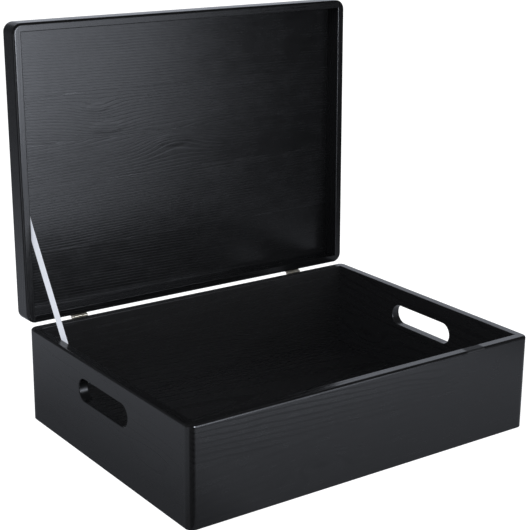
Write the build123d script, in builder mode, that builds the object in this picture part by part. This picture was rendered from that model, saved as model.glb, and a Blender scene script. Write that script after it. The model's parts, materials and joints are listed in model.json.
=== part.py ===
from build123d import *
from itertools import product
from math import cos, radians, sin
import os

# A shallow pine storage box with a hinged lid, lacquered black, standing open.
# Lengths are in millimetres. The origin is the middle of the body on the floor:
# X runs along the front, Y towards the hinges, and Z up.

# Outside of the box
box_width = 400.0
box_depth = 300.0
body_height = 98.0

# Boards of the body
body_wall = 10.0
body_corner_radius = 7.0
body_rim_arris = 2.5
body_inner_arris = 0.8
body_foot_arris = 0.8

# Hand-holds through the left and right boards
handle_length = 92.0
handle_height = 22.5
handle_drop = 30.0
handle_arris = 1.0

# Plywood bottom, held in a groove all round
bottom_thickness = 4.0
bottom_rise = 4.0
groove_depth = 5.0
groove_clearance = 0.5

# Lid: a frame of four rails under a flat top board
lid_wall = 8.5
lid_frame_height = 19.0
lid_top_thickness = 3.6
lid_corner_radius = 10.0
lid_rim_arris = 2.6
lid_inner_arris = 0.8
lid_top_arris = 1.5
closed_gap = 0.4
open_angle = 91.0

# Butt hinges, leaves flat on the backs of the body and the lid
hinge_width = 18.0
left_hinge_from_end = 58.0
right_hinge_from_end = 69.5
knuckle_count = 3
leaf_thickness = 0.6
leaf_reach = 14.0
leaf_corner_radius = 1.5
knuckle_radius = 1.25
knuckle_to_wood = 0.15
knuckle_gap = 0.3
leaf_to_knuckle = 0.3
pin_radius = 0.6
pin_clearance = 0.05
pin_overhang = 0.4
pin_end_chamfer = 0.2

# Countersunk screws of the hinges, two to a leaf
screw_spacing = 10.0
screw_from_pin = 9.0
screw_length = 7.0
screw_radius = 0.8
screw_head_radius = 1.4
screw_point_length = 1.8
screw_point_radius = 0.15
screw_hole_clearance = 0.05
recess_width = 0.4
recess_length = 1.6
recess_depth = 0.4

# Ribbon stay on the left side. It lies flat on the inner faces near its two staples
# and runs free between them.
ribbon_width = 12.0
ribbon_thickness = 0.5
ribbon_tail = 4.0
ribbon_hold = 18.0
body_anchor_reach = 66.5
body_anchor_drop = 12.0
lid_anchor_reach = 112.0
lid_anchor_depth = 8.0

# Staples that hold the ribbon's two ends
staple_crown = 9.0
staple_wire_width = 1.2
staple_wire_thickness = 0.6
staple_leg_length = 6.0
staple_clearance = 0.05

os.makedirs("parts", exist_ok=True)

# Places that the body, the lid and the hinges share
inner_width = box_width - 2 * body_wall
inner_depth = box_depth - 2 * body_wall
back_y = box_depth / 2
pin_offset = knuckle_radius + knuckle_to_wood
pin_y = back_y + pin_offset
pin_z = body_height + closed_gap / 2
pin_point = Vector(0, pin_y, pin_z)

# The hinge plane turns with the lid. In it, Y runs from the lid's front to its
# back and Z from its rim to its top, as they would with the box closed.
lid_up = Vector(0, sin(radians(open_angle)), cos(radians(open_angle)))
hinge_plane = Plane(origin=pin_point, x_dir=(1, 0, 0), z_dir=lid_up)
lid_back_y = -pin_offset
lid_middle_y = lid_back_y - box_depth / 2
rim_height = closed_gap / 2


def on_lid(x, y, z):
    """The point of the open lid that has these coordinates in the hinge plane."""
    return hinge_plane.from_local_coords(Vector(x, y, z))


rim_plane = Plane(origin=on_lid(0, lid_middle_y, rim_height), x_dir=(1, 0, 0), z_dir=lid_up)
lid_axis = Axis(origin=rim_plane.origin, direction=lid_up)
lid_inner_width = box_width - 2 * lid_wall
lid_inner_depth = box_depth - 2 * lid_wall

# Hinges and their screws
hinge_places = {"left": left_hinge_from_end - box_width / 2, "right": box_width / 2 - right_hinge_from_end}
screw_places = [(offset, screw_from_pin) for offset in (-screw_spacing / 2, screw_spacing / 2)]
screw_hole_radius = screw_radius + screw_hole_clearance
screw_in_board = screw_length - leaf_thickness + screw_hole_clearance
head_hole_radius = screw_head_radius + screw_hole_clearance

# Backs of the body and the lid at the pins' height. Z looks away from the wood, and
# Y runs from the pins along the leaf.
seats = {
    "body": Plane(origin=(0, back_y, pin_z), x_dir=(1, 0, 0), z_dir=(0, 1, 0)),
    "lid": Plane(origin=on_lid(0, lid_back_y, 0), x_dir=(-1, 0, 0), z_dir=hinge_plane.y_dir),
}


def leaf_seat(side, middle):
    """The seat that a hinge's leaf lies on, its origin moved to the middle of that hinge."""
    seat = seats[side]
    return Plane(origin=seat.origin + Vector(middle, 0, 0), x_dir=seat.x_dir, z_dir=seat.z_dir)


body_leaf_seats = [leaf_seat("body", middle) for middle in hinge_places.values()]
lid_leaf_seats = [leaf_seat("lid", middle) for middle in hinge_places.values()]

# Ribbon, from its anchor on the left board to its anchor on the lid's left rail
body_anchor = Vector(-inner_width / 2, pin_y - body_anchor_reach, body_height - body_anchor_drop)
lid_anchor = on_lid(-lid_inner_width / 2, -lid_anchor_reach, rim_height + lid_anchor_depth)
ribbon_step = lid_anchor.X - body_anchor.X
ribbon_run = Vector(0, lid_anchor.Y - body_anchor.Y, lid_anchor.Z - body_anchor.Z)
ribbon_across = ribbon_run.normalized().cross(Vector(1, 0, 0))
# Side view of the ribbon: X runs along it from the lower anchor, Y off the wood
ribbon_plane = Plane(origin=body_anchor, x_dir=ribbon_run.normalized(), z_dir=ribbon_across)
anchors = {"body": body_anchor, "lid": lid_anchor}
leg_offset = (staple_crown - staple_wire_thickness) / 2
leg_places = (-leg_offset, leg_offset)
leg_hole_across = staple_wire_thickness + 2 * staple_clearance
leg_hole_along = staple_wire_width + 2 * staple_clearance


def staple_plane(anchor, height):
    """A plane at an anchor, its X across the ribbon and Z off the wood, lifted by height."""
    face = Plane(origin=anchor, x_dir=ribbon_across, z_dir=(1, 0, 0))
    return face.offset(height)


# Ring of the body's four boards, before it is cut into boards
with BuildPart() as body_ring:
    with BuildSketch(Plane.XY):
        RectangleRounded(box_width, box_depth, body_corner_radius)
        Rectangle(inner_width, inner_depth, mode=Mode.SUBTRACT)
    extrude(amount=body_height)
    fillet(body_ring.faces().sort_by(Axis.Z)[-1].outer_wire().edges(), radius=body_rim_arris)
    fillet(body_ring.faces().sort_by(Axis.Z)[-1].inner_wires().edges(), radius=body_inner_arris)
    fillet(body_ring.faces().sort_by(Axis.Z)[0].outer_wire().edges(), radius=body_foot_arris)
    # groove for the bottom
    with BuildSketch(Plane.XY.offset(bottom_rise)):
        Rectangle(inner_width + 2 * groove_depth, inner_depth + 2 * groove_depth)
    extrude(amount=bottom_thickness, mode=Mode.SUBTRACT)
    # hand-holds, right through both sides
    with BuildSketch(Plane.YZ):
        with Locations((0, body_height - handle_drop)):
            SlotOverall(handle_length, handle_height)
    extrude(amount=box_width, both=True, mode=Mode.SUBTRACT)
    handle_edges = body_ring.edges(Select.LAST).filter_by(Plane.YZ)
    fillet(handle_edges, radius=handle_arris)

# Front and back boards run the whole width, the side boards stand between them
board_x = (box_width - body_wall) / 2
board_y = (box_depth - body_wall) / 2
long_boards = {"front": (0, -board_y), "back": (0, board_y)}
side_boards = {"left": (-board_x, 0), "right": (board_x, 0)}

# Two holes for a staple's legs, cut from the ribbon's side of what it passes through
with BuildSketch(Plane.XY) as leg_holes:
    with Locations([(place, 0) for place in leg_places]):
        Rectangle(leg_hole_across, leg_hole_along)

for side, place in long_boards.items():
    with BuildPart() as board:
        add(body_ring.part)
        with BuildSketch(Plane.XY):
            with Locations(place):
                Rectangle(box_width, body_wall)
        extrude(amount=body_height, mode=Mode.INTERSECT)
        if side == "back":
            # pilot holes for the hinge screws
            with BuildSketch(*body_leaf_seats):
                with Locations(screw_places):
                    Circle(screw_hole_radius)
            extrude(amount=-screw_in_board, mode=Mode.SUBTRACT)
    board.part.label = f"body_{side}_board"
    export_step(board.part, f"parts/{board.part.label}.step")

for side, place in side_boards.items():
    with BuildPart() as board:
        add(body_ring.part)
        with BuildSketch(Plane.XY):
            with Locations(place):
                Rectangle(body_wall, inner_depth)
        extrude(amount=body_height, mode=Mode.INTERSECT)
        if side == "left":
            # holes for the legs of the ribbon's lower staple
            with BuildSketch(staple_plane(body_anchor, 0)):
                add(leg_holes.sketch)
            extrude(amount=-staple_leg_length - staple_clearance, mode=Mode.SUBTRACT)
    board.part.label = f"body_{side}_board"
    export_step(board.part, f"parts/{board.part.label}.step")

# Bottom, short of the groove's floor all round
panel_margin = 2 * (groove_depth - groove_clearance)
with BuildPart() as body_bottom:
    with BuildSketch(Plane.XY.offset(bottom_rise)):
        Rectangle(inner_width + panel_margin, inner_depth + panel_margin)
    extrude(amount=bottom_thickness)
body_bottom.part.label = "body_bottom_panel"
export_step(body_bottom.part, "parts/body_bottom_panel.step")

# Ring of the lid's four rails, before it is cut into rails
with BuildPart() as lid_ring:
    with BuildSketch(rim_plane):
        RectangleRounded(box_width, box_depth, lid_corner_radius)
        Rectangle(lid_inner_width, lid_inner_depth, mode=Mode.SUBTRACT)
    extrude(amount=lid_frame_height)
    fillet(lid_ring.faces().sort_by(lid_axis)[0].outer_wire().edges(), radius=lid_rim_arris)
    fillet(lid_ring.faces().sort_by(lid_axis)[0].inner_wires().edges(), radius=lid_inner_arris)

# The lid's side rails run the whole depth, the front and back rails stand between them
rail_x = (box_width - lid_wall) / 2
rail_y = (box_depth - lid_wall) / 2
lid_rails = {
    "front": ((0, -rail_y), (lid_inner_width, lid_wall)),
    "back": ((0, rail_y), (lid_inner_width, lid_wall)),
    "left": ((-rail_x, 0), (lid_wall, box_depth)),
    "right": ((rail_x, 0), (lid_wall, box_depth)),
}
for side, (place, size) in lid_rails.items():
    with BuildPart() as rail:
        add(lid_ring.part)
        with BuildSketch(rim_plane):
            with Locations(place):
                Rectangle(*size)
        extrude(amount=lid_frame_height, mode=Mode.INTERSECT)
        if side == "back":
            # pilot holes for the hinge screws
            with BuildSketch(*lid_leaf_seats):
                with Locations(screw_places):
                    Circle(screw_hole_radius)
            extrude(amount=-screw_in_board, mode=Mode.SUBTRACT)
        if side == "left":
            # holes for the legs of the ribbon's upper staple
            with BuildSketch(staple_plane(lid_anchor, 0)):
                add(leg_holes.sketch)
            extrude(amount=-staple_leg_length - staple_clearance, mode=Mode.SUBTRACT)
    rail.part.label = f"lid_{side}_rail"
    export_step(rail.part, f"parts/{rail.part.label}.step")

with BuildPart() as lid_top:
    with BuildSketch(rim_plane.offset(lid_frame_height)):
        RectangleRounded(box_width, box_depth, lid_corner_radius)
    extrude(amount=lid_top_thickness)
    fillet(lid_top.faces().sort_by(lid_axis)[-1].edges(), radius=lid_top_arris)
lid_top.part.label = "lid_top_board"
export_step(lid_top.part, "parts/lid_top_board.step")

# Knuckles of a hinge, as spans along the pin from the hinge's middle: two at the
# ends for the body's leaf and one between them for the lid's
hinge_end = hinge_width / 2
middle_end = (hinge_width / knuckle_count - knuckle_gap) / 2
knuckles = {
    "body": [(-hinge_end, -middle_end - knuckle_gap), (middle_end + knuckle_gap, hinge_end)],
    "lid": [(-middle_end, middle_end)],
}
# What each leaf leaves free for the other's knuckles
notches = {
    "body": [(-middle_end - knuckle_gap, middle_end + knuckle_gap)],
    "lid": [(-hinge_end - knuckle_gap, -middle_end), (middle_end, hinge_end + knuckle_gap)],
}


def across_pin(x):
    """The plane square to the pins at this place along them."""
    return Plane(origin=pin_point + Vector(x, 0, 0), x_dir=(0, 1, 0), z_dir=(1, 0, 0))


for hinge, middle in hinge_places.items():
    for side in seats:
        leaf_plane = leaf_seat(side, middle)
        with BuildPart() as leaf:
            with BuildSketch(leaf_plane) as plate:
                with Locations((0, leaf_reach / 2)):
                    Rectangle(hinge_width, leaf_reach)
                fillet(plate.vertices().group_by(Axis.Y)[-1], radius=leaf_corner_radius)
            extrude(amount=leaf_thickness)
            for start, end in notches[side]:
                with BuildSketch(across_pin(middle + start)):
                    Circle(knuckle_radius + leaf_to_knuckle)
                extrude(amount=end - start, mode=Mode.SUBTRACT)
            for start, end in knuckles[side]:
                with BuildSketch(across_pin(middle + start)):
                    Circle(knuckle_radius)
                extrude(amount=end - start)
            with BuildSketch(across_pin(middle - hinge_end)):
                Circle(pin_radius + pin_clearance)
            extrude(amount=hinge_width, mode=Mode.SUBTRACT)
            with Locations(leaf_plane.offset(leaf_thickness)):
                with Locations(screw_places):
                    CounterSinkHole(screw_hole_radius, head_hole_radius, depth=leaf_thickness)
        leaf.part.label = f"hinge_{hinge}_{side}_leaf"
        export_step(leaf.part, f"parts/{leaf.part.label}.step")

    with BuildPart() as pin:
        with BuildSketch(across_pin(middle - hinge_end - pin_overhang)):
            Circle(pin_radius)
        extrude(amount=hinge_width + 2 * pin_overhang)
        chamfer(pin.edges().filter_by(GeomType.CIRCLE), length=pin_end_chamfer)
    pin.part.label = f"hinge_{hinge}_pin"
    export_step(pin.part, f"parts/{pin.part.label}.step")

# Screws, four to a side: a countersunk head with a cross recess, a shank and a point
for side in seats:
    with BuildPart() as screws:
        for middle, place in product(hinge_places.values(), screw_places):
            seat = leaf_seat(side, middle)
            head_centre = seat.from_local_coords(Vector(*place, leaf_thickness))
            head_plane = Plane(origin=head_centre, x_dir=seat.x_dir, z_dir=seat.z_dir)
            with BuildSketch(Plane(origin=head_centre, x_dir=seat.x_dir, z_dir=-seat.y_dir)):
                with BuildLine():
                    Polyline(
                        (0, 0),
                        (screw_head_radius, 0),
                        (screw_radius, screw_radius - screw_head_radius),
                        (screw_radius, screw_point_length - screw_length),
                        (screw_point_radius, -screw_length),
                        (0, -screw_length),
                        close=True,
                    )
                make_face()
            revolve(axis=Axis(head_centre, seat.z_dir))
            with BuildSketch(head_plane):
                Rectangle(recess_length, recess_width)
                Rectangle(recess_width, recess_length)
            extrude(amount=-recess_depth, mode=Mode.SUBTRACT)
    screws.part.label = f"hinge_screws_{side}"
    export_step(screws.part, f"parts/{screws.part.label}.step")

# Ribbon, a strap pierced by the staples' legs
wood_side = [
    (-ribbon_tail, 0),
    (ribbon_hold, 0),
    (ribbon_run.length - ribbon_hold, ribbon_step),
    (ribbon_run.length + ribbon_tail, ribbon_step),
]
open_side = [(along, off + ribbon_thickness) for along, off in reversed(wood_side)]
with BuildPart() as ribbon:
    with BuildSketch(ribbon_plane):
        with BuildLine():
            Polyline(*wood_side, *open_side, close=True)
        make_face()
    extrude(amount=ribbon_width / 2, both=True)
    for anchor in anchors.values():
        with BuildSketch(staple_plane(anchor, 0)):
            add(leg_holes.sketch)
        extrude(amount=ribbon_thickness, mode=Mode.SUBTRACT)
ribbon.part.label = "ribbon_stay"
export_step(ribbon.part, "parts/ribbon_stay.step")

# Staples, the crown across the ribbon and both legs in the wood
for side, anchor in anchors.items():
    crown_plane = staple_plane(anchor, ribbon_thickness)
    with BuildPart() as staple:
        with BuildSketch(crown_plane):
            Rectangle(staple_crown, staple_wire_width)
        extrude(amount=staple_wire_thickness)
        with BuildSketch(crown_plane):
            with Locations([(place, 0) for place in leg_places]):
                Rectangle(staple_wire_thickness, staple_wire_width)
        extrude(amount=-staple_leg_length - ribbon_thickness)
    staple.part.label = f"ribbon_staple_{side}"
    export_step(staple.part, f"parts/{staple.part.label}.step")
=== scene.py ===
"""Looks of the black wooden storage box: lacquered boards, brass hinges, ribbon stay and stage."""

import json
import math

import bpy
import numpy as np
from mathutils import Matrix, Vector


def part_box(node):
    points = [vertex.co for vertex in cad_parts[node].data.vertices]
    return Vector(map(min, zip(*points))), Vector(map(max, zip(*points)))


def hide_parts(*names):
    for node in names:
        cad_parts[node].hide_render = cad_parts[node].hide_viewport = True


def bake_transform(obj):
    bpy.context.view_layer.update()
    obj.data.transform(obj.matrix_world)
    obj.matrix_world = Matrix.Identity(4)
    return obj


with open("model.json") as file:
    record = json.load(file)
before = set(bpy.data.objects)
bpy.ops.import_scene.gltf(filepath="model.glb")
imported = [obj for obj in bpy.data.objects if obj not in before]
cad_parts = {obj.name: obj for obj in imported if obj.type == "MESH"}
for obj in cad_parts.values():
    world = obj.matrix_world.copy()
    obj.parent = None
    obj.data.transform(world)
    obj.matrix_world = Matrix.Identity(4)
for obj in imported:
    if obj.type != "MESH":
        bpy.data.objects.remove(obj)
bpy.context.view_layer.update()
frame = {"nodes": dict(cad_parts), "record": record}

bl_info = {
    "name": "Wooden Storage Box",
    "version": (1, 0, 0),
    "blender": (4, 5, 0),
    "location": "View3D > Sidebar > Storage Box",
    "description": "Finishes a hinged pine storage box: lacquer, hinges, ribbon stay and studio stage",
    "category": "Object",
}

MM = 0.001
WHITE = (1.0, 1.0, 1.0)
COOL = (0.93, 0.98, 1.10)

# Places that the boards share, in metres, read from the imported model
HINGE = frame["record"]["behaviour"]["joints"][0]
PIN = Vector(HINGE["pos_m"])
OPEN_ANGLE = math.radians(HINGE["range_deg"][1])
HALF_WIDTH = float(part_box("body_front_board")[1][0])
HALF_DEPTH = -float(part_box("body_front_board")[0][1])
ALONG_WIDTH = Vector((1, 0, 0))
ALONG_DEPTH = Vector((0, 1, 0))
ALONG_HEIGHT = Vector((0, 0, 1))

# Axis that turns with the lid: from its pins to its front
LID_FRONT = Vector((0, -math.cos(OPEN_ANGLE), math.sin(OPEN_ANGLE)))

# Boards: "grain" is the way that the grain runs and "across" the way that the rings are crossed.
# Each strip that a board is glued up from has its edge across the grain, the place of the
# tree's heart across and behind it, how light it is and how clearly its rings show. A knot has
# its place along and across, its size and how far it pushes the rings aside. "rings" is the
# width of a year's growth, "coat_and_painted_light" how pale the board is drawn and "raised"
# how strongly the grain stands up, all against 1. That paleness is partly the lacquer's coat
# and partly painted light and shade: whole boards are drawn lighter or darker for how brightly
# each is lit. "fade" is where the rings fade out across the grain, "fade_along" where they do
# along it, and "matt" how much rougher the lines of the rings are than the rest.
# "dull" is a rubbed patch of the rim: its middle and half width along the grain and its lower edge.
BODY_BOARDS = {
    "body_front_board": {
        "grain": ALONG_WIDTH,
        "across": ALONG_HEIGHT,
        "strips": [(None, 0.105, 0.030, 0.5, 0.35), (0.058, -0.050, 0.030, 0.5, 1.0)],
        "knots": [(-0.060, 0.030, 0.012, 0.010), (0.080, 0.078, 0.010, 0.004)],
        "dull": (0.129, 0.011, 0.096),
        "fade_along": (0.030, 0.130),
        "matt": -0.24,
        "rings": 1.25,
        "coat_and_painted_light": 0.9,
        "raised": 0.35,
        "seed": 3.0,
    },
    "body_back_board": {
        "grain": ALONG_WIDTH,
        "across": ALONG_HEIGHT,
        "strips": [(None, -0.060, 0.040, 0.5, 0.5), (0.052, 0.130, 0.030, 0.6, 0.6)],
        "knots": [(0.090, 0.030, 0.012, 0.006)],
        "rings": 1.3,
        "coat_and_painted_light": 2.3,
        "raised": 0.8,
        "seed": 11.0,
    },
    "body_left_board": {
        "grain": ALONG_DEPTH,
        "across": ALONG_HEIGHT,
        "strips": [(None, 0.030, 0.060, 0.5, 0.25), (0.049, 0.120, 0.040, 0.5, 0.25)],
        "knots": [(-0.090, 0.044, 0.012, 0.006)],
        "rings": 1.6,
        "coat_and_painted_light": 0.65,
        "raised": 0.5,
        "seed": 17.0,
    },
    "body_right_board": {
        "grain": ALONG_DEPTH,
        "across": ALONG_HEIGHT,
        "strips": [(None, -0.030, 0.040, 0.5, 0.6), (0.049, 0.160, 0.050, 0.45, 0.8)],
        "knots": [(0.085, 0.028, 0.011, 0.006)],
        "rings": 1.4,
        "coat_and_painted_light": 1.4,
        "raised": 0.8,
        "seed": 23.0,
    },
    "body_bottom_panel": {
        "grain": ALONG_WIDTH,
        "across": ALONG_DEPTH,
        "strips": [(None, 0.060, 0.090, 0.5, 0.5)],
        "knots": [],
        "rings": 1.6,
        "coat_and_painted_light": 1.4,
        "raised": 0.8,
        "seed": 29.0,
    },
}
LID_BOARDS = {
    "lid_top_board": {
        "grain": ALONG_WIDTH,
        "across": LID_FRONT,
        "strips": [
            (None, -0.040, 0.030, 0.5, 0.6),
            (0.068, 0.220, 0.030, 0.42, 0.9),
            (0.135, 0.230, 0.020, 0.55, 0.8),
            (0.178, 0.120, 0.020, 0.45, 1.0),
            (0.226, 0.120, 0.030, 0.6, 0.9),
        ],
        "knots": [
            (-0.102, 0.209, 0.009, 0.007),
            (-0.090, 0.188, 0.014, 0.008),
            (-0.012, 0.166, 0.015, 0.013),
        ],
        "fade": (0.262, 0.300),
        "fade_along": (-0.020, 0.120),
        "rings": 1.15,
        "coat_and_painted_light": 0.6,
        "raised": 1.4,
        "seed": 5.0,
    },
    "lid_front_rail": {
        "grain": ALONG_WIDTH,
        "across": LID_FRONT,
        "strips": [(None, 0.340, 0.030, 0.2, 0.6)],
        "knots": [],
        "rings": 1.0,
        "coat_and_painted_light": 0.7,
        "raised": 0.7,
        "seed": 31.0,
    },
    "lid_back_rail": {
        "grain": ALONG_WIDTH,
        "across": LID_FRONT,
        "strips": [(None, -0.040, 0.030, 1.0, 0.6)],
        "knots": [],
        "rings": 1.0,
        "coat_and_painted_light": 0.4,
        "raised": 0.6,
        "seed": 37.0,
    },
    "lid_left_rail": {
        "grain": LID_FRONT,
        "across": ALONG_WIDTH,
        "strips": [(None, -0.150, 0.030, 0.2, 0.6)],
        "knots": [],
        "rings": 1.0,
        "coat_and_painted_light": 0.7,
        "raised": 0.7,
        "seed": 41.0,
    },
    "lid_right_rail": {
        "grain": LID_FRONT,
        "across": ALONG_WIDTH,
        "strips": [(None, 0.150, 0.020, 0.5, 0.6)],
        "knots": [],
        "rings": 1.0,
        "coat_and_painted_light": 0.7,
        "raised": 0.6,
        "seed": 43.0,
    },
}
HINGE_NODES = [name for name in frame["nodes"] if name.startswith("hinge_")]
STAPLE_NODES = [name for name in frame["nodes"] if name.startswith("ribbon_staple_")]

# Noise in the wood, in waves per metre along the grain, across it and into the board
WANDER = (5.0, 20.0, 20.0)
TREMBLE = (28.0, 120.0, 120.0)
CLEARNESS = (9.0, 40.0, 40.0)
CLEARNESS_SHIFT = (3.1, 0.0, 0.0)
FIBRE = (170.0, 1200.0, 1200.0)
STREAK = (14.0, 420.0, 420.0)
MOTTLE = (55.0, 75.0, 75.0)

# Bends of the growth rings: by slow and by quick noise, and by the trunk's taper per metre
WANDER_REACH = 7 * MM
TREMBLE_REACH = 1.2 * MM
TAPER = 0.022

# Line of a ring: the share of a year over which it fades, and how much rougher it is
RING_LINE = 0.22
RING_MATT = 0.14

# Strips of a board: the step in number between two, and how far that shifts their noise along
# the grain. The seam between them has this half width.
STRIP_STEP = 1.7
STRIP_SHIFT = 0.31
GLUE_HALF = 0.5 * MM

# Knots: length against width, and how much clearer the rings are round one
KNOT_LENGTH = 3.0
KNOT_CLEARNESS = 0.5

# Patch rubbed dull: how much rougher it is and how soft its ends are
DULL_ROUGHNESS = 0.35
DULL_SOFT = 2 * MM

# What each mark of the wood adds to the lacquer's lightness, its roughness and its height. The
# swings go both ways about the middle.
LIGHTNESS = {"line": -0.35, "streak": 0.25, "tone": 0.4, "arris": 0.35}
ROUGHNESS_SWINGS = {"fibre": 0.10, "streak": 0.06, "mottle": 0.10, "tone": -0.10}
ROUGHNESS = {"end_grain": 0.08, "core": -0.04, "arris": -0.05}
HEIGHT = {"line": -0.7, "fibre": 0.30, "streak": 0.25, "mottle": 1.2, "glue": -0.4, "core": 1.2}
DARKEST_COAT = 0.7
PALEST_COAT = 1.5
LACQUER_IOR = 1.5

# Spans that a shade runs over: from, to, and the levels at both ends, which are 0 and 1 where
# they aren't given. These are for the wood: how clear the rings are by noise, where they fade
# out, a knot's core, and how squarely a face stands at an arris and at end grain.
STRENGTH_SPAN = (0.35, 0.65, 0.55, 1.0)
FADE_LEVELS = (1.0, 0.25)
FADE_ALONG_LEVELS = (1.0, 0.3)
CORE_SPAN = (0.08, 0.30, 1.0, 0.0)
ARRIS_SPAN = (0.98, 0.80)
END_GRAIN_SPAN = (0.75, 0.95)

# These are for how bright the lacquer mirrors the floor, in metres: outwards from the box, to
# the left of its middle, in a bright band before it, in a patch far out at the left, and at
# the right. The last two are seen from the corner: a heading towards the photographer, and
# the way out to the far right.
BESIDE_BOX = (0.0, 0.30, 0.40, 0.75)
DIM_LEFT = (0.12, 0.20, 1.0, 0.45)
PALER_LEFT = (0.22, 0.36, 0.0, 0.20)
DIMMER_LEFT = (0.40, 0.65, 1.0, 0.25)
BAND_MIDDLE = (0.12, -0.51)
BAND_DEPTH = (0.06, 0.12, 3.2, 0.0)
BAND_WIDTH = (0.16, 0.30, 1.0, 0.0)
PATCH_LEFT = (0.50, 0.75, 0.0, 1.0)
PATCH_BEFORE = (0.0, 0.15, 0.0, 1.0)
RIGHT_SIDE = (-0.52, -0.32, 0.25, 1.0)
PHOTOGRAPHER_WAY = (-0.36, -0.93, 0.0)
PHOTOGRAPHER_SPAN = (0.60, 0.88, 1.0, 0.18)
FAR_RIGHT_WAY = (0.80, -0.60, 0.0)
FAR_RIGHT_SPAN = (0.47, 0.80, 1.0, 0.08)

# These are for the backdrop that the lacquer mirrors: upwards, and to both sides of the way in
# which it stands
BACKDROP_WAY = (0.57, 0.82, 0.0)
BACKDROP_UP = (0.42, 0.62, 1.0, 0.1)
BACKDROP_SIDE = (0.72, 0.97, 0.1, 0.86)

# The floor's own colour in its shadow, and how bright the camera sees it
FLOOR_GREY = 0.35
FLOOR_GLOW = 0.86

# Lamps: name, place, width and height in metres, power in watts, and what they light
PANEL_MIDDLE = (-0.1, 0.17, 0.30)
LAMPS = [
    ("high_softbox", (0.0, -0.95, 0.38), (0.24, 0.24), 7.5, "sheen"),
    ("low_softbox", (0.44, -0.95, 0.26), (0.40, 0.42), 1.25, "sheen"),
    ("near_softbox", (0.12, -0.95, 0.13), (0.30, 0.24), 0.85, "sheen"),
    ("front_fill", (0.34, -0.95, 0.29), (0.45, 0.35), 1.5, "colour"),
    ("left_fill", (-1.60, -0.30, 1.30), (0.80, 0.80), 20.0, "colour"),
]

# The photograph's view, solved from the box's straight edges: angles in radians, and the focal
# length and the picture's width in pixels
CAMERA_PLACE = Vector((-766.6, -1053.2, 567.2)) * MM
CAMERA_TURN = 0.6190
CAMERA_DIP = 0.2980
CAMERA_ROLL = 0.0088
FOCAL_PIXELS = 1382.6
PICTURE_PIXELS = 530.0
SENSOR_WIDTH = 36.0

# Plating: noise in waves per metre, how much tarnish dulls it and how deep the drawn lines are
DRAWN_LINES = (300.0, 6000.0, 6000.0)
BLOTCHES = (260.0, 260.0, 260.0)
TARNISH_SPAN = (0.45, 0.75)
RUBBED_COLOUR = 1.1
TARNISHED_COLOUR = 0.62
TARNISH_ROUGHNESS = 0.15
DRAWN_ROUGHNESS = 0.12
SCREW_ROUGHNESS = 0.05
DRAWN_DEPTH = 0.01 * MM

# Ribbon's skin: how far it is off the wood, the bell curves of its two selvedges (height as a
# share of the thickness, place in from the edge, and width), the rounding of its edges, and how
# many points the skin has across and along
RIBBON_GAP = 0.04 * MM
SELVEDGE_HEIGHT = 0.25
SELVEDGE_INSET = 0.5 * MM
SELVEDGE_WIDTH = 0.4 * MM
EDGE_ROUNDING = 0.25 * MM
POINTS_ACROSS = 25
STATIONS = 160

# Ribbon's weave: warp threads across it, lint, where the selvedge starts as a share of the
# width from the middle, what each adds to the shade and the height, and how deep it is. The
# weave's share of the shade is painted shade, darker in the hollows between ribs and threads;
# lint varies the yarn's own tone.
WARP_THREADS = 38.0
LINT = (190.0, 24.0, 1.0)
SELVEDGE_SPAN = (0.44, 0.47)
WEAVE_TONE_AND_PAINTED_SHADE = {"weave": 0.5, "lint": 0.35, "selvedge": 0.2}
WEAVE_HEIGHT = {"weave": 0.7, "lint": 0.3}
WEAVE_DEPTH = 0.06 * MM
WEAVE_ROUGHNESS = (0.0, 1.0, 0.62, 0.45)
PAINTED_HOLLOW_SHADE = 0.86
RIBBON_SHEEN = 0.25
RIBBON_SHEEN_ROUGHNESS = 0.5


class LacquerSettings(bpy.types.PropertyGroup):
    """Black lacquer over pine."""

    colour: bpy.props.FloatVectorProperty(
        name="Colour",
        description="Body colour of the lacquer",
        subtype="COLOR",
        size=3,
        min=0.0,
        max=1.0,
        default=(0.0062, 0.0062, 0.0064),
    )
    roughness: bpy.props.FloatProperty(
        name="Roughness",
        description="How far the satin sheen spreads",
        subtype="FACTOR",
        min=0.05,
        max=1.0,
        default=0.25,
    )
    ring_spacing: bpy.props.FloatProperty(
        name="Growth rings",
        description="Width of one year's growth in the pine",
        unit="LENGTH",
        min=0.0005,
        default=2.5 * MM,
    )
    relief: bpy.props.FloatProperty(
        name="Grain relief",
        description="How far the grain stands up through the lacquer",
        unit="LENGTH",
        min=0.0,
        default=0.05 * MM,
        precision=5,
    )


class MetalSettings(bpy.types.PropertyGroup):
    """Hinges, screws and staples."""

    brass: bpy.props.FloatVectorProperty(
        name="Brass",
        description="Colour of the hinges and their screws",
        subtype="COLOR",
        size=3,
        min=0.0,
        max=1.0,
        default=(0.66, 0.61, 0.50),
    )
    wire: bpy.props.FloatVectorProperty(
        name="Wire",
        description="Colour of the galvanised staples",
        subtype="COLOR",
        size=3,
        min=0.0,
        max=1.0,
        default=(0.55, 0.56, 0.58),
    )
    roughness: bpy.props.FloatProperty(
        name="Roughness",
        description="How dull the plating is",
        subtype="FACTOR",
        min=0.05,
        max=1.0,
        default=0.32,
    )


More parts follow.
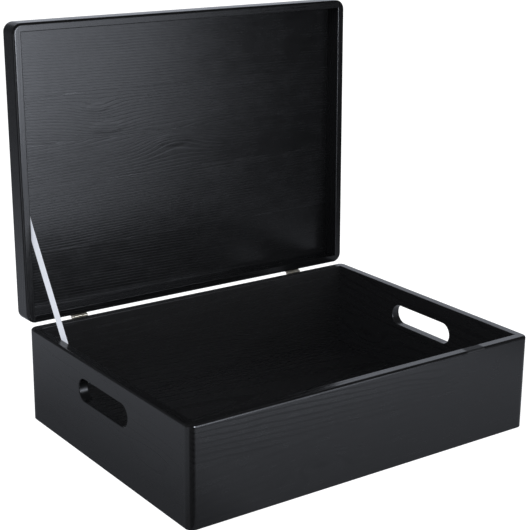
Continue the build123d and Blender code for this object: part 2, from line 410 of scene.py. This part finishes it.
class RibbonSettings(bpy.types.PropertyGroup):
    """Ribbon stay of the lid."""

    width: bpy.props.FloatProperty(
        name="Width",
        description="Width of the ribbon",
        unit="LENGTH",
        min=0.005,
        default=12 * MM,
    )
    thickness: bpy.props.FloatProperty(
        name="Thickness",
        description="Thickness of the weave",
        unit="LENGTH",
        min=0.0001,
        default=0.40 * MM,
    )
    hold: bpy.props.FloatProperty(
        name="Hold",
        description="Length that lies flat on the wood from each staple inwards",
        unit="LENGTH",
        min=0.001,
        default=18 * MM,
    )
    rib_pitch: bpy.props.FloatProperty(
        name="Rib pitch",
        description="Distance between crosswise ribs",
        unit="LENGTH",
        min=0.0002,
        default=0.9 * MM,
    )
    colour: bpy.props.FloatVectorProperty(
        name="Colour",
        description="Colour of the yarn",
        subtype="COLOR",
        size=3,
        min=0.0,
        max=1.0,
        default=(0.84, 0.86, 0.90),
    )


class StageSettings(bpy.types.PropertyGroup):
    """White floor, lamps and camera."""

    floor_half: bpy.props.FloatProperty(
        name="Floor",
        description="Half the side of the floor",
        unit="LENGTH",
        min=2.0,
        default=15.0,
    )
    ambient: bpy.props.FloatProperty(
        name="Ambient",
        description="Level of the light from all round",
        min=0.0,
        default=0.85,
    )


SETTINGS = {
    "storage_box_lacquer": LacquerSettings,
    "storage_box_metal": MetalSettings,
    "storage_box_ribbon": RibbonSettings,
    "storage_box_stage": StageSettings,
}


def put(tree, socket, value):
    """Sets an input to a value, or links another node's output to it."""
    if isinstance(value, bpy.types.NodeSocket):
        tree.links.new(value, socket)
    elif value is not None:
        socket.default_value = value


def node(tree, kind, inputs=(), **settings):
    """Adds a node with these settings and these inputs, by name or by number."""
    made = tree.nodes.new(kind)
    for key, value in settings.items():
        setattr(made, key, value)
    for key, value in dict(inputs).items():
        put(tree, made.inputs[key], value)
    return made


def maths(tree, operation, a, b=None, c=None):
    """The result of a sum on up to three numbers or outputs."""
    return node(tree, "ShaderNodeMath", {0: a, 1: b, 2: c}, operation=operation).outputs[0]


def total(tree, *terms):
    """The sum of any number of outputs or numbers."""
    result = terms[0]
    for term in terms[1:]:
        result = maths(tree, "ADD", result, term)
    return result


def product(tree, *factors):
    """The product of any number of outputs or numbers."""
    result = factors[0]
    for factor in factors[1:]:
        result = maths(tree, "MULTIPLY", result, factor)
    return result


def distance(tree, value, place):
    """How far one number is from another, either way."""
    return maths(tree, "ABSOLUTE", maths(tree, "SUBTRACT", value, place))


def centred(tree, value, amount):
    """A value from 0 to 1 turned into a swing about nothing, of this whole amount."""
    return maths(tree, "MULTIPLY_ADD", value, amount, -amount / 2)


def weighted(tree, marks, weights):
    """The sum of these marks, each times its weight."""
    return total(tree, *[product(tree, marks[key], weight) for key, weight in weights.items()])


def wave(tree, place, count):
    """Half a sine plus a half, this many times over one unit of place."""
    turned = product(tree, place, 2 * math.pi * count)
    return maths(tree, "MULTIPLY_ADD", maths(tree, "SINE", turned), 0.5, 0.5)


def dot(tree, vector, axis):
    """How far a vector reaches along a fixed axis."""
    made = node(tree, "ShaderNodeVectorMath", {0: vector, 1: tuple(axis)}, operation="DOT_PRODUCT")
    return made.outputs["Value"]


def spread(tree, value, low, high, start=0.0, end=1.0, smooth=False):
    """Carries the span from low to high onto the span from start to end, held at both ends."""
    inputs = {0: value, 1: low, 2: high, 3: start, 4: end}
    kind = "SMOOTHSTEP" if smooth else "LINEAR"
    return node(tree, "ShaderNodeMapRange", inputs, interpolation_type=kind).outputs[0]


def stretched(tree, vector, scale, shift=(0.0, 0.0, 0.0)):
    """A place scaled differently along each axis and then shifted, all by multiply and add."""
    inputs = {0: vector, 1: scale, 2: shift}
    return node(tree, "ShaderNodeVectorMath", inputs, operation="MULTIPLY_ADD").outputs[0]


def noise(tree, vector, detail=2.0, roughness=0.5):
    """Soft noise from 0 to 1."""
    inputs = {"Vector": vector, "Scale": 1.0, "Detail": detail, "Roughness": roughness}
    return node(tree, "ShaderNodeTexNoise", inputs).outputs[0]


def stepped(tree, place, edges, values):
    """A number that holds one value up to the first edge, the next up to the second, and so on."""
    result = values[0]
    for edge, before, after in zip(edges, values, values[1:]):
        past = maths(tree, "GREATER_THAN", place, edge)
        result = maths(tree, "MULTIPLY_ADD", past, after - before, result)
    return result


def surface(name):
    """A new material with one Principled shader: (material, tree, shader)."""
    made = bpy.data.materials.new(name)
    made.use_nodes = True
    tree = made.node_tree
    tree.nodes.clear()
    shader = node(tree, "ShaderNodeBsdfPrincipled")
    end = node(tree, "ShaderNodeOutputMaterial")
    tree.links.new(shader.outputs[0], end.inputs["Surface"])
    return made, tree, shader


def tint(tree, amount, dark, light):
    """A colour between two others."""
    inputs = {0: amount, 6: (*dark, 1.0), 7: (*light, 1.0)}
    return node(tree, "ShaderNodeMix", inputs, data_type="RGBA").outputs[2]


def relief(tree, shader, height, depth):
    """Raises the surface by height, from 0 to 1, times this depth."""
    bump = node(tree, "ShaderNodeBump", {"Height": height, "Distance": depth, "Strength": 1.0})
    tree.links.new(bump.outputs[0], shader.inputs["Normal"])


def ring_radius(tree, place, wood, heart, behind):
    """Distance from the tree's heart, plus the slow bends of the rings.

    It is the root of the squares of the way across from the heart and the way into the board
    past it, to which two noises and the trunk's taper along the grain are added.
    """
    s, t, d = place
    sideways = maths(tree, "SUBTRACT", t, heart)
    inwards = maths(tree, "ADD", d, behind)
    squares = total(tree, product(tree, sideways, sideways), product(tree, inwards, inwards))
    wander = noise(tree, stretched(tree, wood, WANDER), detail=1.0)
    tremble = noise(tree, stretched(tree, wood, TREMBLE), detail=1.0)
    return total(
        tree,
        maths(tree, "SQRT", squares),
        centred(tree, wander, WANDER_REACH),
        centred(tree, tremble, TREMBLE_REACH),
        product(tree, s, TAPER),
    )


def knotted(tree, radius, knots, s, t):
    """The rings pushed aside by knots: (radius, nearness to a knot, hard core of a knot).

    Each knot is a bell curve, e to the minus square of the distance in knot sizes, and longer
    along the grain than across it.
    """
    near = 0.0
    core = 0.0
    for knot_s, knot_t, size, push in knots:
        ds = product(tree, maths(tree, "SUBTRACT", s, knot_s), 1 / (KNOT_LENGTH * size))
        dt = product(tree, maths(tree, "SUBTRACT", t, knot_t), 1 / size)
        away = total(tree, product(tree, ds, ds), product(tree, dt, dt))
        bulge = maths(tree, "EXPONENT", product(tree, away, -1.0))
        radius = maths(tree, "MULTIPLY_ADD", bulge, push, radius)
        near = maths(tree, "MAXIMUM", bulge, near)
        core = maths(tree, "MAXIMUM", spread(tree, away, *CORE_SPAN, smooth=True), core)
    return radius, near, core


def glue_seams(tree, t, edges):
    """Thin lines where two strips of a board meet, from 0 to 1."""
    if not edges:
        return 0.0
    nearest = distance(tree, t, edges[0])
    for edge in edges[1:]:
        nearest = maths(tree, "MINIMUM", nearest, distance(tree, t, edge))
    return spread(tree, nearest, 0.0, GLUE_HALF, 1.0, 0.0, smooth=True)


def lacquered_pine(name, board, lacquer):
    """Satin black lacquer over one glued-up pine board.

    Growth rings are circles about the tree's heart, bent by slow noise, by the taper of the
    trunk along the grain and by a bulge round each knot. Each strip has a heart of its own.
    Fibres, streaks, the lacquer's own unevenness, arrises and end grain are laid over them.
    """
    made, tree, shader = surface(name)
    coordinates = node(tree, "ShaderNodeTexCoord").outputs
    along, across = board["grain"], board["across"]
    start = Vector((0, 0, 0)) if name in BODY_BOARDS else PIN
    s, t, d = (
        maths(tree, "SUBTRACT", dot(tree, coordinates["Object"], axis), start.dot(axis))
        for axis in (along, across, along.cross(across))
    )
    edges, *columns = (list(column) for column in zip(*board["strips"]))
    edges = edges[1:]
    heart, behind, tone, clearness = (stepped(tree, t, edges, column) for column in columns)
    seeds = [board["seed"] + STRIP_STEP * strip for strip in range(len(board["strips"]))]
    shifted = maths(tree, "MULTIPLY_ADD", stepped(tree, t, edges, seeds), STRIP_SHIFT, s)
    wood = node(tree, "ShaderNodeCombineXYZ", {0: shifted, 1: t, 2: d}).outputs[0]

    # dark lines of late wood
    radius = ring_radius(tree, (s, t, d), wood, heart, behind)
    radius, near_knot, core = knotted(tree, radius, board["knots"], s, t)
    year = maths(tree, "DIVIDE", radius, board["rings"] * lacquer.ring_spacing)
    ring = distance(tree, maths(tree, "FRACT", year), 0.5)
    strength = noise(tree, stretched(tree, wood, CLEARNESS, CLEARNESS_SHIFT), detail=1.0)
    clearness = product(tree, clearness, spread(tree, strength, *STRENGTH_SPAN))
    for key, way, levels in (("fade", t, FADE_LEVELS), ("fade_along", s, FADE_ALONG_LEVELS)):
        if key in board:
            faded = spread(tree, way, *board[key], *levels, smooth=True)
            clearness = product(tree, clearness, faded)
    clearness = maths(tree, "MULTIPLY_ADD", near_knot, KNOT_CLEARNESS, clearness)
    line = spread(tree, ring, 0.0, RING_LINE, 1.0, 0.0, smooth=True)

    # a face looks squarely along an axis, an arris along none, and end grain along the grain
    looks = node(tree, "ShaderNodeVectorMath", {0: coordinates["Normal"]}, operation="ABSOLUTE")
    parts = node(tree, "ShaderNodeSeparateXYZ", {0: looks.outputs[0]}).outputs
    flattest = maths(tree, "MAXIMUM", maths(tree, "MAXIMUM", parts[0], parts[1]), parts[2])
    endwise = maths(tree, "ABSOLUTE", dot(tree, coordinates["Normal"], along))
    marks = {
        "line": product(tree, line, clearness),
        "core": core,
        "tone": tone,
        "fibre": noise(tree, stretched(tree, wood, FIBRE), detail=3.0, roughness=0.6),
        "streak": noise(tree, stretched(tree, wood, STREAK)),
        "mottle": noise(tree, stretched(tree, wood, MOTTLE), detail=3.0),
        "glue": glue_seams(tree, t, edges),
        "arris": spread(tree, flattest, *ARRIS_SPAN, smooth=True),
        "end_grain": spread(tree, endwise, *END_GRAIN_SPAN, smooth=True),
    }

    light = weighted(tree, marks, LIGHTNESS)
    # each board's paleness is partly its lacquer coat and partly painted light and shade: whole boards
    # are drawn lighter or darker for how brightly they are lit
    dark, pale = (
        tuple(share * board["coat_and_painted_light"] * level for level in lacquer.colour)
        for share in (DARKEST_COAT, PALEST_COAT)
    )
    put(tree, shader.inputs["Base Color"], tint(tree, light, dark, pale))
    roughness = total(
        tree,
        lacquer.roughness,
        *[centred(tree, marks[key], swing) for key, swing in ROUGHNESS_SWINGS.items()],
        product(tree, marks["line"], board.get("matt", RING_MATT)),
        weighted(tree, marks, ROUGHNESS),
    )
    if "dull" in board:
        middle, half, lower = board["dull"]
        off = distance(tree, s, middle)
        patch = spread(tree, off, half - DULL_SOFT, half + DULL_SOFT, DULL_ROUGHNESS, 0.0, smooth=True)
        patch = product(tree, patch, maths(tree, "GREATER_THAN", t, lower))
        roughness = maths(tree, "ADD", roughness, patch)
    put(tree, shader.inputs["Roughness"], roughness)
    shader.inputs["IOR"].default_value = LACQUER_IOR
    relief(tree, shader, weighted(tree, marks, HEIGHT), board["raised"] * lacquer.relief)
    return made


def plated_metal(name, colour, roughness, seed):
    """Thin bright plating with fine drawn lines, faint blotches of tarnish and rubbed high spots."""
    made, tree, shader = surface(name)
    place = node(tree, "ShaderNodeTexCoord").outputs["Object"]
    drawn = noise(tree, stretched(tree, place, DRAWN_LINES, (seed, 0.0, 0.0)))
    blotch = noise(tree, stretched(tree, place, BLOTCHES, (seed, seed, 0.0)), detail=3.0)
    tarnish = spread(tree, blotch, *TARNISH_SPAN)
    bright = tuple(min(1.0, RUBBED_COLOUR * level) for level in colour)
    dull = tuple(TARNISHED_COLOUR * level for level in colour)
    put(tree, shader.inputs["Base Color"], tint(tree, tarnish, bright, dull))
    shader.inputs["Metallic"].default_value = 1.0
    rough = total(
        tree,
        roughness,
        product(tree, tarnish, TARNISH_ROUGHNESS),
        centred(tree, drawn, DRAWN_ROUGHNESS),
    )
    put(tree, shader.inputs["Roughness"], rough)
    relief(tree, shader, drawn, DRAWN_DEPTH)
    return made


def woven_ribbon(name, ribbon, length):
    """White ribbon: crosswise ribs of weft over fine lengthwise warp, tighter at the two selvedges.

    It reads the piece's own UV map, where one unit is the ribbon's length or its width. Ribs
    and warp are waves along it and across it, and the weave is their product.
    """
    made, tree, shader = surface(name)
    uv = node(tree, "ShaderNodeUVMap", uv_map="Cloth").outputs[0]
    parts = node(tree, "ShaderNodeSeparateXYZ", {0: uv}).outputs
    rib = wave(tree, parts[0], length / ribbon.rib_pitch)
    warp = wave(tree, parts[1], WARP_THREADS)
    marks = {
        "weave": product(tree, rib, warp),
        "lint": noise(tree, stretched(tree, uv, LINT), detail=3.0),
        "selvedge": spread(tree, distance(tree, parts[1], 0.5), *SELVEDGE_SPAN, smooth=True),
    }
    # the hollows of the weave are drawn darker than the yarn: painted shade
    dark = tuple(PAINTED_HOLLOW_SHADE * level for level in ribbon.colour)
    shade = weighted(tree, marks, WEAVE_TONE_AND_PAINTED_SHADE)
    put(tree, shader.inputs["Base Color"], tint(tree, shade, dark, tuple(ribbon.colour)))
    put(tree, shader.inputs["Roughness"], spread(tree, marks["weave"], *WEAVE_ROUGHNESS))
    shader.inputs["Sheen Weight"].default_value = RIBBON_SHEEN
    shader.inputs["Sheen Roughness"].default_value = RIBBON_SHEEN_ROUGHNESS
    relief(tree, shader, weighted(tree, marks, WEAVE_HEIGHT), WEAVE_DEPTH)
    return made


def grid_mesh(name, rings, uv):
    """A closed skin from rings of points, numbered along and then round: rings has the shape
    (stations, points, 3). Neighbouring rings are joined by quads and the two end rings are
    closed by one face each. uv has the shape (stations, points + 1, 2)."""
    stations, points = rings.shape[:2]
    number = np.arange(stations * points).reshape(stations, points)
    here, there = number[:-1], number[1:]
    quads = np.stack([here, there, np.roll(there, -1, 1), np.roll(here, -1, 1)], -1).reshape(-1, 4)
    mesh = bpy.data.meshes.new(name)
    faces = [tuple(face) for face in quads.tolist()]
    faces += [tuple(number[0].tolist()), tuple(number[-1][::-1].tolist())]
    mesh.from_pydata(rings.reshape(-1, 3).tolist(), [], faces)
    corner = np.stack([uv[:-1, :-1], uv[1:, :-1], uv[1:, 1:], uv[:-1, 1:]], 2).reshape(-1, 2)
    ends = np.concatenate([uv[0, :-1], uv[-1, :-1][::-1]])
    layer = mesh.uv_layers.new(name="Cloth")
    layer.data.foreach_set("uv", np.concatenate([corner, ends]).astype(np.float32).ravel())
    mesh.update()
    return mesh


def show(name, mesh, material):
    """Puts a mesh in the scene as an object at the origin with this material."""
    piece = bpy.data.objects.new(name, mesh)
    bpy.context.collection.objects.link(piece)
    mesh.materials.append(material)
    return piece


def ribbon_profile(ribbon):
    """The ribbon's cross-section: (places across it, heights off the wood), once round.

    The inner face is flat. The outer one stands a thickness above it, raised at each selvedge
    by a bell curve, and comes down at both edges with the root of the distance to the edge.
    """
    half = ribbon.width / 2
    across = half * np.sin(np.linspace(-1.0, 1.0, POINTS_ACROSS) * math.pi / 2)
    inset = (np.abs(across) - half + SELVEDGE_INSET) / SELVEDGE_WIDTH
    selvedge = SELVEDGE_HEIGHT * np.exp(-(inset**2))
    rounding = np.sqrt(np.clip((half - np.abs(across)) / EDGE_ROUNDING, 0.0, 1.0))
    inner = np.full_like(across, RIBBON_GAP)
    outer = inner + ribbon.thickness * (1.0 + selvedge) * rounding
    return np.concatenate([across, across[-2:0:-1]]), np.concatenate([outer, inner[-2:0:-1]])


def ribbon_surface(ribbon):
    """The ribbon's skin, flat against the inner faces of the left board and the lid's left rail.

    Seen from the side the middle runs straight from the lower end to the upper one. Off the
    wood it follows three straight lines: level with the board past the lower staple, then over
    the small step to the rail, then level with the rail past the upper staple. Its profile is
    carried along that path. Returns the mesh, its length, and the places of the two anchors.
    """
    low, high = (Vector(corner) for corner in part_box("ribbon_stay"))
    lower_staple, upper_staple = (
        sum((Vector(corner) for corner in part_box(staple)), Vector()) / 2
        for staple in ("ribbon_staple_body", "ribbon_staple_lid")
    )
    run = Vector((0, upper_staple.y - lower_staple.y, upper_staple.z - lower_staple.z))
    way = run.normalized()
    side = Vector((0, -way.z, way.y))
    middle = Vector((0, (lower_staple.y + upper_staple.y) / 2, (lower_staple.z + upper_staple.z) / 2))
    # the strap's box is as high as the length times way.z and the width times side.z together
    length = ((high.z - low.z) - ribbon.width * abs(side.z)) / abs(way.z)
    board_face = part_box("body_left_board")[1][0]
    rail_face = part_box("lid_left_rail")[1][0]
    free = run.length / 2 - ribbon.hold
    along = np.linspace(-length / 2, length / 2, STATIONS)
    face = np.interp(along, (-free, free), (board_face, rail_face))
    across, off = ribbon_profile(ribbon)
    rings = (
        np.array(middle)
        + along[:, None, None] * np.array(way)
        + across[None, :, None] * np.array(side)
        + (face[:, None] + off[None, :])[:, :, None] * np.array(ALONG_WIDTH)
    )
    shape = (STATIONS, len(across) + 1)
    u_map = np.broadcast_to((along / length + 0.5)[:, None], shape)
    v_map = np.broadcast_to(np.append(across, across[0])[None, :] / ribbon.width + 0.5, shape)
    mesh = grid_mesh("ribbon_band", rings, np.stack([u_map, v_map], -1))
    return mesh, length, lower_staple, upper_staple


def finish(name, material):
    """Gives a node of the CAD model this material alone."""
    materials = frame["nodes"][name].data.materials
    materials.clear()
    materials.append(material)


class STORAGEBOX_OT_lacquer(bpy.types.Operator):
    """Finish every board of the body and the lid in black lacquer"""

    bl_idname = "storagebox.lacquer_boards"
    bl_label = "Lacquer the Boards"

    def execute(self, context):
        lacquer = context.scene.storage_box_lacquer
        for name, board in {**BODY_BOARDS, **LID_BOARDS}.items():
            finish(name, lacquered_pine(name, board, lacquer))
        return {"FINISHED"}


class STORAGEBOX_OT_metal(bpy.types.Operator):
    """Plate the hinges, their screws and pins, and the ribbon's staples"""

    bl_idname = "storagebox.plate_metal"
    bl_label = "Plate the Hinges and Staples"

    def execute(self, context):
        metal = context.scene.storage_box_metal
        brass = plated_metal("hinge_plate", metal.brass, metal.roughness, seed=1.0)
        screw = plated_metal("screw_plate", metal.brass, metal.roughness + SCREW_ROUGHNESS, seed=4.0)
        wire = plated_metal("staple_wire", metal.wire, metal.roughness, seed=7.0)
        for name in HINGE_NODES:
            finish(name, screw if "screws" in name else brass)
        for name in STAPLE_NODES:
            finish(name, wire)
        return {"FINISHED"}


class STORAGEBOX_OT_ribbon(bpy.types.Operator):
    """Weave the white ribbon stay between its two staples"""

    bl_idname = "storagebox.weave_ribbon"
    bl_label = "Weave the Ribbon Stay"

    def execute(self, context):
        ribbon = context.scene.storage_box_ribbon
        mesh, length, lower, upper = ribbon_surface(ribbon)
        piece = show("ribbon_band", mesh, woven_ribbon("woven_ribbon", ribbon, length))
        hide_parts("ribbon_stay")
        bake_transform(piece)
        return {"FINISHED"}


def area_lamp(name, place, size, power, lights):
    """A soft rectangular lamp at a place, turned to the lid's panel. It lights either the wood's
    colour or the sheen of its lacquer."""
    lamp = bpy.data.lights.new(name, "AREA")
    lamp.shape = "RECTANGLE"
    lamp.size, lamp.size_y = size
    lamp.energy = power
    lamp.color = COOL
    made = bpy.data.objects.new(name, lamp)
    bpy.context.collection.objects.link(made)
    made.location = place
    made.rotation_euler = (Vector(PANEL_MIDDLE) - Vector(place)).to_track_quat("-Z", "Y").to_euler()
    made.visible_glossy = lights == "sheen"
    made.visible_diffuse = lights == "colour"


def facing(tree, flat, way, low, high, start, end):
    """A level that goes from one to another as a level heading turns towards a fixed way."""
    heading = node(tree, "ShaderNodeVectorMath", {0: flat}, operation="NORMALIZE").outputs[0]
    return spread(tree, dot(tree, heading, way), low, high, start, end, smooth=True)


def floor_in_lacquer(tree, place):
    """How bright the lacquer mirrors the floor: dim beside the box and paler further out, with a
    bright band before the box and a pale patch far out before it at the left, dimmer at the left
    otherwise, and dark towards the photographer and at the far right."""
    x, y = (dot(tree, place, axis) for axis in (ALONG_WIDTH, ALONG_DEPTH))
    left = product(tree, x, -1.0)
    before = product(tree, y, -1.0)
    clear = maths(
        tree,
        "MAXIMUM",
        maths(tree, "SUBTRACT", maths(tree, "ABSOLUTE", x), HALF_WIDTH),
        maths(tree, "SUBTRACT", maths(tree, "ABSOLUTE", y), HALF_DEPTH),
    )
    from_corner = stretched(tree, place, (1.0, 1.0, 0.0), (HALF_WIDTH, HALF_DEPTH, 0.0))
    level = product(tree, spread(tree, clear, *BESIDE_BOX), spread(tree, left, *DIM_LEFT))
    level = total(tree, level, spread(tree, left, *PALER_LEFT))
    level = product(tree, level, spread(tree, left, *DIMMER_LEFT))
    off_middle, off_band = (distance(tree, v, middle) for v, middle in zip((x, y), BAND_MIDDLE))
    band = product(
        tree,
        spread(tree, off_band, *BAND_DEPTH, smooth=True),
        spread(tree, off_middle, *BAND_WIDTH, smooth=True),
    )
    patch = product(tree, spread(tree, left, *PATCH_LEFT), spread(tree, before, *PATCH_BEFORE))
    return product(
        tree,
        total(tree, level, band, patch),
        facing(tree, from_corner, PHOTOGRAPHER_WAY, *PHOTOGRAPHER_SPAN),
        spread(tree, left, *RIGHT_SIDE, smooth=True),
        spread(tree, dot(tree, from_corner, FAR_RIGHT_WAY), *FAR_RIGHT_SPAN, smooth=True),
    )


def white_floor(stage):
    """A wide white floor that keeps a faint shadow, and that the lacquer mirrors near the box."""
    half = stage.floor_half
    mesh = bpy.data.meshes.new("floor")
    corners = [(-half, -half, 0.0), (half, -half, 0.0), (half, half, 0.0), (-half, half, 0.0)]
    mesh.from_pydata(corners, [], [(0, 1, 2, 3)])
    made = bpy.data.materials.new("white_floor")
    made.use_nodes = True
    tree = made.node_tree
    tree.nodes.clear()
    seen_by = node(tree, "ShaderNodeLightPath").outputs
    place = node(tree, "ShaderNodeTexCoord").outputs["Object"]
    # the lacquer mirrors only the floor's glow, so there its own colour is black
    level = maths(tree, "MULTIPLY_ADD", seen_by["Is Glossy Ray"], -FLOOR_GREY, FLOOR_GREY)
    grey = node(tree, "ShaderNodeCombineColor", {0: level, 1: level, 2: level})
    strength = total(
        tree,
        product(tree, seen_by["Is Camera Ray"], FLOOR_GLOW),
        product(tree, seen_by["Is Glossy Ray"], floor_in_lacquer(tree, place)),
    )
    colour = tint(tree, seen_by["Is Glossy Ray"], WHITE, COOL)
    glow = node(tree, "ShaderNodeEmission", {"Color": colour, "Strength": strength})
    matt = node(tree, "ShaderNodeBsdfDiffuse", {"Color": grey.outputs[0]})
    both = node(tree, "ShaderNodeAddShader", {0: glow.outputs[0], 1: matt.outputs[0]})
    end = node(tree, "ShaderNodeOutputMaterial")
    tree.links.new(both.outputs[0], end.inputs["Surface"])
    made.cycles.emission_sampling = "NONE"
    floor = show("floor", mesh, made)


def sky(stage):
    """White behind the object, even light all round, and in the lacquer a bright backdrop low
    behind the box and to its right."""
    world = bpy.data.worlds.new("studio")
    bpy.context.scene.world = world
    world.use_nodes = True
    tree = world.node_tree
    tree.nodes.clear()
    seen_by = node(tree, "ShaderNodeLightPath").outputs
    way = node(tree, "ShaderNodeTexCoord").outputs["Generated"]
    up = node(tree, "ShaderNodeSeparateXYZ", {0: way}).outputs[2]
    flat = stretched(tree, way, (1.0, 1.0, 0.0))
    backdrop = product(
        tree,
        spread(tree, up, *BACKDROP_UP, smooth=True),
        facing(tree, flat, BACKDROP_WAY, *BACKDROP_SIDE),
    )
    seen = total(tree, seen_by["Is Glossy Ray"], seen_by["Is Camera Ray"])
    strength = total(
        tree,
        seen_by["Is Camera Ray"],
        product(tree, seen_by["Is Glossy Ray"], backdrop),
        product(tree, maths(tree, "SUBTRACT", 1.0, seen), stage.ambient),
    )
    colour = tint(tree, seen_by["Is Glossy Ray"], WHITE, COOL)
    glow = node(tree, "ShaderNodeBackground", {"Color": colour, "Strength": strength})
    end = node(tree, "ShaderNodeOutputWorld")
    tree.links.new(glow.outputs[0], end.inputs["Surface"])
    world.cycles.sampling_method = "NONE"


def camera():
    """The photograph's camera. It looks along its turn and dip, and its roll turns the picture."""
    heading = Vector((math.sin(CAMERA_TURN), math.cos(CAMERA_TURN), 0.0))
    ahead = math.cos(CAMERA_DIP) * heading - math.sin(CAMERA_DIP) * ALONG_HEIGHT
    level = heading.cross(ALONG_HEIGHT)
    upright = level.cross(ahead)
    right = math.cos(CAMERA_ROLL) * level + math.sin(CAMERA_ROLL) * upright
    up = math.cos(CAMERA_ROLL) * upright - math.sin(CAMERA_ROLL) * level
    lens = bpy.data.cameras.new("camera")
    lens.sensor_fit = "HORIZONTAL"
    lens.sensor_width = SENSOR_WIDTH
    lens.lens = SENSOR_WIDTH * FOCAL_PIXELS / PICTURE_PIXELS
    made = bpy.data.objects.new("camera", lens)
    bpy.context.collection.objects.link(made)
    turned = Matrix((right, up, -ahead)).transposed().to_4x4()
    made.matrix_world = Matrix.Translation(CAMERA_PLACE) @ turned
    bpy.context.scene.camera = made


class STORAGEBOX_OT_stage(bpy.types.Operator):
    """Set up the white floor, the studio light and the camera"""

    bl_idname = "storagebox.set_stage"
    bl_label = "Set the Stage"

    def execute(self, context):
        stage = context.scene.storage_box_stage
        context.scene.view_settings.view_transform = "Standard"
        white_floor(stage)
        sky(stage)
        for lamp in LAMPS:
            area_lamp(*lamp)
        camera()
        return {"FINISHED"}


OPERATORS = [STORAGEBOX_OT_lacquer, STORAGEBOX_OT_metal, STORAGEBOX_OT_ribbon, STORAGEBOX_OT_stage]


class STORAGEBOX_PT_panel(bpy.types.Panel):
    """Sidebar panel of the storage box"""

    bl_label = "Storage Box"
    bl_idname = "STORAGEBOX_PT_panel"
    bl_space_type = "VIEW_3D"
    bl_region_type = "UI"
    bl_category = "Storage Box"

    def draw(self, context):
        for key in SETTINGS:
            settings = getattr(context.scene, key)
            box = self.layout.box()
            for field in settings.bl_rna.properties:
                if not field.is_readonly and field.identifier != "name":
                    box.prop(settings, field.identifier)
        for operator in OPERATORS:
            self.layout.operator(operator.bl_idname)


def register():
    """Registers the settings, the operators and the panel."""
    for key, settings in SETTINGS.items():
        bpy.utils.register_class(settings)
        setattr(bpy.types.Scene, key, bpy.props.PointerProperty(type=settings))
    for made in [*OPERATORS, STORAGEBOX_PT_panel]:
        bpy.utils.register_class(made)


def unregister():
    """Takes back all that register added."""
    for made in [STORAGEBOX_PT_panel, *reversed(OPERATORS)]:
        bpy.utils.unregister_class(made)
    for key, settings in reversed(SETTINGS.items()):
        delattr(bpy.types.Scene, key)
        bpy.utils.unregister_class(settings)


def main():
    register()
    bpy.ops.storagebox.lacquer_boards()
    bpy.ops.storagebox.plate_metal()
    bpy.ops.storagebox.weave_ribbon()
    bpy.ops.storagebox.set_stage()


if __name__ == "__main__":
    main()
